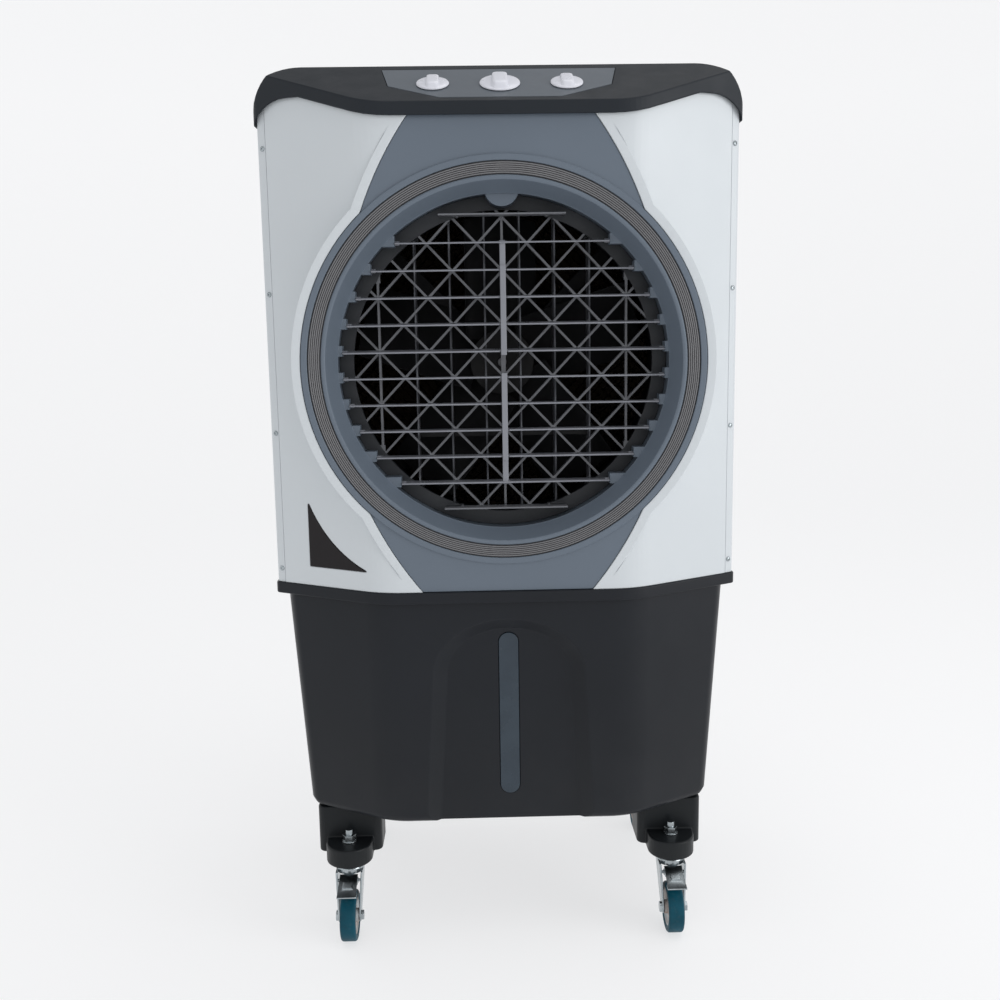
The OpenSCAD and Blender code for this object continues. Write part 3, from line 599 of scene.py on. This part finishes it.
def sheets_tree(material):
    """Fluted paper sheets side by side, each wave the mirror of its neighbour's."""
    tree, inp, out, ids = node_tree(
        "pad_sheets",
        [
            ("Sheets", "NodeSocketInt"),
            ("Pitch", "NodeSocketFloat"),
            ("Flute", "NodeSocketFloat"),
            ("Height", "NodeSocketFloat"),
            ("Depth", "NodeSocketFloat"),
        ],
    )
    new, link = tree.nodes.new, tree.links.new

    def math_node(operation, first, second):
        node = new("ShaderNodeMath")
        node.operation = operation
        for socket, value in zip(node.inputs, (first, second)):
            if isinstance(value, (int, float)):
                socket.default_value = value
            else:
                link(value, socket)
        return node.outputs["Value"]

    grid = new("GeometryNodeMeshGrid")
    link(inp.outputs["Height"], grid.inputs["Size X"])
    link(inp.outputs["Depth"], grid.inputs["Size Y"])
    grid.inputs["Vertices X"].default_value = 241
    grid.inputs["Vertices Y"].default_value = 2
    position = new("GeometryNodeInputPosition")
    split = new("ShaderNodeSeparateXYZ")
    link(position.outputs["Position"], split.inputs["Vector"])
    turns = math_node("DIVIDE", split.outputs["X"], inp.outputs["Flute"])
    wave = math_node("SINE", math_node("MULTIPLY", turns, 2 * math.pi), 0.0)
    swing = math_node("MULTIPLY", wave, math_node("MULTIPLY", inp.outputs["Pitch"], 0.46))
    join = new("ShaderNodeCombineXYZ")
    link(swing, join.inputs["X"])
    link(split.outputs["Y"], join.inputs["Y"])
    link(split.outputs["X"], join.inputs["Z"])
    bend = new("GeometryNodeSetPosition")
    link(grid.outputs["Mesh"], bend.inputs["Geometry"])
    link(join.outputs["Vector"], bend.inputs["Position"])
    line = new("GeometryNodeMeshLine")
    line.mode = "OFFSET"
    offset = new("ShaderNodeCombineXYZ")
    link(inp.outputs["Pitch"], offset.inputs["X"])
    link(offset.outputs["Vector"], line.inputs["Offset"])
    link(inp.outputs["Sheets"], line.inputs["Count"])
    index = new("GeometryNodeInputIndex")
    odd = math_node("MODULO", index.outputs["Index"], 2.0)
    flip = new("ShaderNodeCombineXYZ")
    link(math_node("MULTIPLY", odd, math.pi), flip.inputs["Z"])
    instances = new("GeometryNodeInstanceOnPoints")
    link(line.outputs["Mesh"], instances.inputs["Points"])
    link(bend.outputs["Geometry"], instances.inputs["Instance"])
    link(flip.outputs["Vector"], instances.inputs["Rotation"])
    smooth = new("GeometryNodeSetShadeSmooth")
    link(instances.outputs["Instances"], smooth.inputs["Geometry"])
    ending(tree, smooth.outputs["Geometry"], out, material)
    return tree, ids


# ---------------------------------------------------------------- operators


class CoolerOperator(bpy.types.Operator):
    """What the cooler's operators share."""

    bl_options = {"REGISTER", "UNDO"}

    def execute(self, context):
        self.build(context.scene.cooler)
        return {"FINISHED"}


class COOLER_OT_casing(CoolerOperator):
    """Makes the white casing, side panels, fill door and corner trim"""

    bl_idname = "cooler.casing"
    bl_label = "Casing"

    def build(self, settings):
        edge = settings.shell.edge
        finished("front_casing", edge)
        for node in ("side_panel_left", "side_panel_right", "fill_door"):
            finished(node, edge * 0.7)
        finished("corner_trim", edge * 0.5)


class COOLER_OT_bezel(CoolerOperator):
    """Makes the front bezel and its round lip"""

    bl_idname = "cooler.bezel"
    bl_label = "Bezel"

    def build(self, settings):
        finished("front_bezel", settings.shell.edge)


class COOLER_OT_cover(CoolerOperator):
    """Makes the top cover and its control panel"""

    bl_idname = "cooler.cover"
    bl_label = "Top cover"

    def build(self, settings):
        finished("top_cover", settings.shell.edge * 1.6, segments=3, angle=25)
        finished("control_panel", settings.shell.edge * 0.4)


class COOLER_OT_outlet(CoolerOperator):
    """Makes the outlet ring, the grille and the ribbed trim ring"""

    bl_idname = "cooler.outlet"
    bl_label = "Outlet"

    def build(self, settings):
        finished("outlet_ring", 0.5 * MM)
        self.grille()
        self.trim_ring(settings.outlet)

    def grille(self):
        """The lattice, with painted shade: its rim where it stands in the duct is painted darker."""
        lattice = finished("grille_lattice", 0.3 * MM, angle=40)
        lattice.data.materials.append(made_materials["rim_dark"])
        middle = centre("grille_lattice")
        # Faces beyond this radius take the near black rim material, painted shade inside the duct.
        for face in lattice.data.polygons:
            if math.hypot(face.center.x - middle.x, face.center.z - middle.z) > LATTICE_SHADE_RADIUS:
                face.material_index = 1

    def trim_ring(self, outlet):
        """A recessed ring with round ribs on its face and a groove along each edge; the base is painted near
        black, painted shade in the grooves between and beside the lighter ribs.
        """
        low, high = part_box("trim_ring")
        middle = centre("trim_ring")
        out_r = (high.x - low.x) / 2
        in_r = out_r - RING_WIDTH
        face = low.y + 2.2 * MM
        back = high.y
        ring = lathe([(in_r, -back), (in_r, -face), (out_r, -face), (out_r, -back)], 220)
        upright = Matrix.Rotation(math.radians(90), 4, "X")
        placed(ring, Matrix.Translation((middle.x, 0, middle.z)) @ upright)
        base = painted(shaded(object_of(ring, "trim_ring_base")), "ring_grey")
        mounted(base, "trim_ring")
        groove = 2.0 * MM
        pitch = (RING_WIDTH - 2 * groove) / (outlet.ribs - 1)
        tree, ids = rib_tree(made_materials["ring_rib"])
        values = {
            "Count": outlet.ribs, "Inner": in_r + groove, "Pitch": pitch, "Rib Radius": outlet.rib_radius,
        }
        ribs = grown(object_of(bmesh.new(), "trim_ring_ribs"), tree, ids, values)
        ribs.data.transform(Matrix.Translation((middle.x, face - 0.3 * MM, middle.z)) @ upright)
        mounted(ribs, "trim_ring")


class COOLER_OT_louvres(CoolerOperator):
    """Makes the louvres and their tie bars"""

    bl_idname = "cooler.louvres"
    bl_label = "Louvres"

    def build(self, settings):
        for row in range(1, 11):
            finished(f"louvre_{row}", 0.22 * MM)
        for node in ("upper_tie_bar", "lower_tie_bar"):
            finished(node, 0.5 * MM)


class COOLER_OT_vanes(CoolerOperator):
    """Makes the upright swing vanes, their link and the swing motor"""

    bl_idname = "cooler.vanes"
    bl_label = "Swing vanes"

    def build(self, settings):
        for number in range(1, 7):
            finished(f"vane_{number}", 0.3 * MM, "inner_grey")
        finished("vane_link", 0.5 * MM)
        finished("swing_motor", 0.6 * MM)


class COOLER_OT_fan(CoolerOperator):
    """Makes the fan, its motor, shaft and shroud"""

    bl_idname = "cooler.fan"
    bl_label = "Fan"

    def build(self, settings):
        finished("fan_shroud", 0.8 * MM)
        finished("fan_motor", 1.5 * MM, segments=3)
        finished("motor_shaft", 0.4 * MM)
        finished("fan_impeller", 0.6 * MM)


class COOLER_OT_tank(CoolerOperator):
    """Makes the water tank, its level window, drain plug, pump, hose and tray"""

    bl_idname = "cooler.tank"
    bl_label = "Water tank"

    def build(self, settings):
        finished("tank", 1.6 * MM, segments=3, angle=30)
        finished("level_window", 0.6 * MM)
        finished("drain_plug", 0.8 * MM)
        finished("water_pump", 1.5 * MM, segments=3)
        finished("feed_hose", 0.4 * MM)
        finished("water_tray", 0.6 * MM)
        finished("rotary_switches", 0.5 * MM)


class COOLER_OT_pad(CoolerOperator):
    """Makes the rear frame and the fluted wet pad"""

    bl_idname = "cooler.pad"
    bl_label = "Cooling pad"

    def build(self, settings):
        finished("pad_frame", 0.5 * MM)
        low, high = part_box("cooling_pad")
        pitch = settings.pad.sheet_pitch
        depth = 12 * MM
        count = int((high.x - low.x - pitch) / pitch)
        margin = (high.x - low.x - (count - 1) * pitch) / 2
        tree, ids = sheets_tree(made_materials["pad_paper"])
        values = {
            "Sheets": count, "Pitch": pitch, "Flute": settings.pad.flute,
            "Height": high.z - low.z, "Depth": depth,
        }
        # The front sheets take the dark wet paper, which is wet paper with painted shade inside the pad.
        for name, y, paper in (
            ("pad_sheets_rear", high.y - depth / 2, "pad_paper"),
            ("pad_sheets_front", low.y + depth / 2, "wet_paper"),
        ):
            sheets = painted(grown(object_of(bmesh.new(), name), tree, ids, values), paper)
            sheets.data.transform(Matrix.Translation((low.x + margin, y, (low.z + high.z) / 2)))
            mounted(sheets, "cooling_pad")
        # The core block is painted with the dark wet paper too, as painted shade inside the pad.
        core = bmesh.new()
        bmesh.ops.create_cube(core, size=1.0)
        size = Vector((high.x - low.x, high.y - low.y - 1.6 * depth, high.z - low.z))
        placed(core, Matrix.Translation((low + high) / 2) @ Matrix.Diagonal((*size, 1)))
        block = rounded(object_of(core, "pad_core"), 1.0 * MM)
        mounted(painted(block, "wet_paper"), "cooling_pad")


class COOLER_OT_screws(CoolerOperator):
    """Makes the casing screws with their cross recesses"""

    bl_idname = "cooler.screws"
    bl_label = "Casing screws"

    def head(self):
        """A pan head with a cross recess, its seat at the origin."""
        profile = [(0, -7 * MM), (1.6 * MM, -7 * MM), (1.6 * MM, 0), (3.2 * MM, 0), (3.2 * MM, 0.7 * MM)]
        profile += [(3.05 * MM, 1.05 * MM), (2.5 * MM, 1.45 * MM), (1.7 * MM, 1.7 * MM), (0, 1.8 * MM)]
        return shaded(object_of(lathe(profile, 24, closed=False), "screw_head"), 40)

    def recess(self):
        """A cross-shaped cutter."""
        cross = bmesh.new()
        for size in ((3.4, 0.7, 2.0), (0.7, 3.4, 2.0)):
            bar = bmesh.new()
            bmesh.ops.create_cube(bar, size=1.0)
            placed(bar, Matrix.Translation((0, 0, 2.0 * MM)) @ Matrix.Diagonal((*(s * MM for s in size), 1)))
            joined(cross, bar)
        return object_of(cross, "screw_recess")

    def build(self, settings):
        head, cutter = self.head(), self.recess()
        cut = head.modifiers.new("recess", "BOOLEAN")
        cut.operation = "DIFFERENCE"
        cut.solver = "EXACT"
        cut.use_self = True
        cut.object = cutter
        applied(head)
        bpy.data.objects.remove(cutter)
        places = object_of(self.places(), "casing_screws_piece")
        tree, ids = copies_tree("screw_copies", head, made_materials["zinc_steel"])
        screws = grown(places, tree, ids, {"Scale": 1.0})
        bpy.data.objects.remove(head)
        mounted(screws, "casing_screws")

    def places(self):
        """One vertex under each screw head, with the way the head faces."""
        points = bmesh.new()
        aim = points.verts.layers.float_vector.new("aim")
        source = merged("casing_screws")
        left = set(source.verts)
        while left:
            group, queue = set(), [next(iter(left))]
            while queue:
                vert = queue.pop()
                if vert not in group:
                    group.add(vert)
                    queue.extend(e.other_vert(vert) for e in vert.link_edges)
            left -= group
            places = [v.co.copy() for v in group]
            middle = sum(places, Vector()) / len(places)
            if middle.y > 0.1:
                way = Vector((0, 1, 0))
            else:
                way = Vector((math.copysign(0.5, middle.x), -math.sqrt(0.75), 0))
            top = max(places, key=lambda p: p.dot(way))
            seat = top - way * 1.8 * MM
            low = [min(p[i] for p in places) for i in range(3)]
            high = [max(p[i] for p in places) for i in range(3)]
            axis_z = (low[2] + high[2]) / 2
            seat.z = axis_z
            if way.y > 0.9:
                seat.x = (low[0] + high[0]) / 2
            point = points.verts.new(seat)
            point[aim] = way
        source.free()
        return points


class COOLER_OT_knobs(CoolerOperator):
    """Makes the three turn knobs"""

    bl_idname = "cooler.knobs"
    bl_label = "Knobs"

    def build(self, settings):
        joints = {j["child"]: j for j in frame["joints"]}
        for node, radius in (("swing_knob", 19.5 * MM), ("speed_knob", 24.2 * MM), ("pump_knob", 19.5 * MM)):
            joint = joints[node]
            up = Vector(joint["axis"])
            across = Vector((1, 0, 0))
            along = up.cross(across)
            turn = Matrix((across, along, up)).transposed().to_4x4()
            matrix = Matrix.Translation(Vector(joint["pos_m"])) @ turn
            skirt_side = [
                (0, 0.4 * MM), (radius - 0.8 * MM, 0.4 * MM), (radius, 1.2 * MM),
                (radius - 0.1 * MM, 2.0 * MM), (radius - 0.9 * MM, 2.8 * MM),
                (radius * 0.8, 3.5 * MM), (radius * 0.5, 3.9 * MM), (0, 4.0 * MM),
            ]
            skirt = lathe(skirt_side, TURN_STEPS, closed=False)
            stem_side = [(0, -20 * MM), (3.0 * MM, -20 * MM), (3.0 * MM, 1.0 * MM), (0, 1.0 * MM)]
            stem = lathe(stem_side, 32, closed=False)
            whole = joined(skirt, self.grip(radius), stem)
            knob = shaded(object_of(placed(whole, matrix), node + "_piece"), 50)
            mounted(painted(knob, "knob_white"), node)

    def grip(self, radius):
        """The finger bar: rounded oblong sections that narrow upwards and close in a crowned top."""
        bm = bmesh.new()
        height = radius * GRIP_RISE + 2.4 * MM
        rows = []
        for t, wide, reach in ((0.0, 0.50, 0.94), (0.12, 0.42, 0.90), (0.35, 0.39, 0.84), (0.7, 0.37, 0.74),
                               (0.88, 0.35, 0.68), (0.97, 0.31, 0.62), (1.0, 0.25, 0.56)):
            half_w, half_l = radius * wide, radius * reach
            corner = half_w * 0.55
            ring = []
            for cx, cy, start in ((1, 1, 0), (-1, 1, 90), (-1, -1, 180), (1, -1, 270)):
                middle_x, middle_y = cx * (half_w - corner), cy * (half_l - corner)
                ring += arc_points(middle_x, middle_y, corner, start, start + 90, 6)
            z = 2.2 * MM + (height - 2.2 * MM) * t
            rows.append([bm.verts.new((x, y, z)) for x, y in ring])
        for lower, upper in zip(rows, rows[1:]):
            for i in range(len(lower)):
                k = (i + 1) % len(lower)
                bm.faces.new((lower[i], lower[k], upper[k], upper[i]))
        bm.faces.new(rows[-1])
        bm.faces.new(list(reversed(rows[0])))
        bmesh.ops.recalc_face_normals(bm, faces=bm.faces)
        return bm


class COOLER_OT_casters(CoolerOperator):
    """Makes the casters: brackets, stems, forks, tyres, hubs and brake pedals"""

    bl_idname = "cooler.casters"
    bl_label = "Casters"

    def build(self, settings):
        finished("caster_brackets", 2.2 * MM, segments=3)
        finished("caster_stems", 0.4 * MM)
        for corner in ("front_left", "front_right", "rear_left", "rear_right"):
            finished("fork_" + corner, 0.5 * MM)
            self.wheel("wheel_" + corner)
        for side in ("left", "right"):
            finished("pedal_" + side, 0.5 * MM)

    def wheel(self, node):
        """A crowned tyre with grooved shoulders on a dished hub."""
        low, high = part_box(node)
        middle = (low + high) / 2
        radius = (high.z - low.z) / 2
        half = 10.5 * MM
        turn = Matrix.Translation(middle) @ Matrix.Rotation(math.radians(90), 4, "Y")
        shoulder = 3.2 * MM
        outer = arc_points(radius - shoulder, half - shoulder, shoulder, 80, 0, 6)
        inner = [(r, -z) for r, z in reversed(outer)]
        seat = radius - 8.5 * MM
        profile = [(seat, -half + 1.2 * MM), (seat, half - 1.2 * MM), (seat + 1.2 * MM, half - 0.3 * MM)]
        profile += [
            (radius - 5.4 * MM, half), (radius - 4.8 * MM, half - 0.6 * MM), (radius - 4.2 * MM, half),
        ]
        profile += outer + inner
        profile += [
            (radius - 4.2 * MM, -half), (radius - 4.8 * MM, -half + 0.6 * MM), (radius - 5.4 * MM, -half),
        ]
        profile += [(seat + 1.2 * MM, -half + 0.3 * MM)]
        tyre = placed(lathe(profile, TURN_STEPS), turn)
        mounted(painted(shaded(object_of(tyre, node + "_tyre"), 40), "wheel_teal"), node)
        bore, boss = 4.06 * MM, 9.0 * MM
        hub_profile = [(bore, -11.8 * MM), (bore, 11.8 * MM), (boss, 11.8 * MM), (boss, 8.0 * MM),
                       (boss + 3 * MM, 7.0 * MM), (seat - 4 * MM, 7.4 * MM),
                       (seat - 2.5 * MM, half - 1.4 * MM), (seat, half - 1.4 * MM)]
        hub_profile += [(r, -z) for r, z in reversed(hub_profile[2:])]
        hub = rounded(object_of(placed(lathe(hub_profile, TURN_STEPS), turn), node + "_hub"), 0.4 * MM)
        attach(painted(hub, "wheel_hub"), BODY_OF[node])


class COOLER_OT_stage(CoolerOperator):
    """Makes the pale floor, the studio lights and the camera"""

    bl_idname = "cooler.stage"
    bl_label = "Stage"

    def build(self, settings):
        scene = bpy.context.scene
        floor = shaded(object_of(self.bowl(), "floor"), 60)
        material, _, _, bsdf = shader("floor_pale")
        bsdf.inputs["Base Color"].default_value = (0.36, 0.36, 0.362, 1)
        bsdf.inputs["Roughness"].default_value = 1.0
        bsdf.inputs["Specular IOR Level"].default_value = 0.0
        bsdf.inputs["Emission Color"].default_value = (0.985, 0.99, 1.0, 1)
        bsdf.inputs["Emission Strength"].default_value = 0.64
        floor.data.materials.append(material)
        world = bpy.data.worlds.new("studio")
        world.use_nodes = True
        world.node_tree.nodes["Background"].inputs["Color"].default_value = (0.96, 0.965, 0.98, 1)
        world.node_tree.nodes["Background"].inputs["Strength"].default_value = 0.45
        scene.world = world
        scene.view_settings.view_transform = "Standard"
        self.lamp("key", (3.2, -1.9, 1.1), 2.0, 40)
        self.lamp("overhead", (0.6, -0.4, 3.6), 2.4, 24)
        self.camera(scene)

    def bowl(self):
        """A round floor that curves up into a wall on every side."""
        line = [(0.0, 0.0)] + arc_points(4.5, 2.5, 2.5, -90, 0, 16) + [(7.0, 6.0)]
        bm = lathe(line, TURN_STEPS, closed=False)
        bm.normal_update()
        if next(f for f in bm.faces if abs(f.normal.z) > 0.9).normal.z < 0:
            bmesh.ops.reverse_faces(bm, faces=bm.faces)
        return bm

    def lamp(self, name, place, size, power):
        """A square soft light aimed at the middle of the cooler."""
        data = bpy.data.lights.new(name, "AREA")
        data.size = size
        data.energy = power
        lamp = bpy.data.objects.new(name, data)
        lamp.location = place
        lamp.visible_camera = False
        lamp.rotation_euler = (LAMP_TARGET - Vector(place)).to_track_quat("-Z", "Y").to_euler()
        bpy.context.scene.collection.objects.link(lamp)

    def camera(self, scene):
        """A camera in front, a little above the middle, looking slightly down."""
        data = bpy.data.cameras.new("camera")
        data.sensor_width = 36
        data.lens = CAMERA_LENS
        camera = bpy.data.objects.new("camera", data)
        yaw, pitch, roll = math.radians(1.215), math.radians(8.61), math.radians(-0.915)
        forward = Vector((math.sin(yaw) * math.cos(pitch), math.cos(yaw) * math.cos(pitch), -math.sin(pitch)))
        right = Vector((math.cos(yaw), -math.sin(yaw), 0))
        up = right.cross(forward)
        right_turned = right * math.cos(roll) + up * math.sin(roll)
        up_turned = up * math.cos(roll) - right * math.sin(roll)
        turn = Matrix((right_turned, up_turned, -forward)).transposed().to_4x4()
        camera.matrix_world = Matrix.Translation(CAMERA_PLACE) @ turn
        scene.collection.objects.link(camera)
        scene.camera = camera


class COOLER_PT_panel(bpy.types.Panel):
    """Lists the cooler's operators and settings."""

    bl_label = "Evaporative cooler"
    bl_idname = "COOLER_PT_panel"
    bl_space_type = "VIEW_3D"
    bl_region_type = "UI"
    bl_category = "Cooler"

    def draw(self, context):
        settings = context.scene.cooler
        for group in ("shell", "outlet", "pad", "casters"):
            box = self.layout.box()
            box.label(text=group.title())
            values = getattr(settings, group)
            for name in values.__annotations__:
                box.prop(values, name)
        for operator in OPERATORS:
            self.layout.operator(operator.bl_idname)


OPERATORS = (
    COOLER_OT_casing,
    COOLER_OT_bezel,
    COOLER_OT_cover,
    COOLER_OT_outlet,
    COOLER_OT_louvres,
    COOLER_OT_vanes,
    COOLER_OT_fan,
    COOLER_OT_tank,
    COOLER_OT_pad,
    COOLER_OT_screws,
    COOLER_OT_knobs,
    COOLER_OT_casters,
    COOLER_OT_stage,
)
GROUPS = (CoolerShell, CoolerOutlet, CoolerPad, CoolerCasters, CoolerSettings)


def register():
    """Registers the settings, operators and panel."""
    for cls in (*GROUPS, *OPERATORS, COOLER_PT_panel):
        bpy.utils.register_class(cls)
    bpy.types.Scene.cooler = PointerProperty(type=CoolerSettings)


def unregister():
    """Removes what register added."""
    del bpy.types.Scene.cooler
    for cls in reversed((*GROUPS, *OPERATORS, COOLER_PT_panel)):
        bpy.utils.unregister_class(cls)


def main():
    """Builds everything."""
    register()
    make_materials(bpy.context.scene.cooler)
    for operator in OPERATORS:
        group, name = operator.bl_idname.split(".")
        getattr(getattr(bpy.ops, group), name)()


if __name__ == "__main__":
    main()
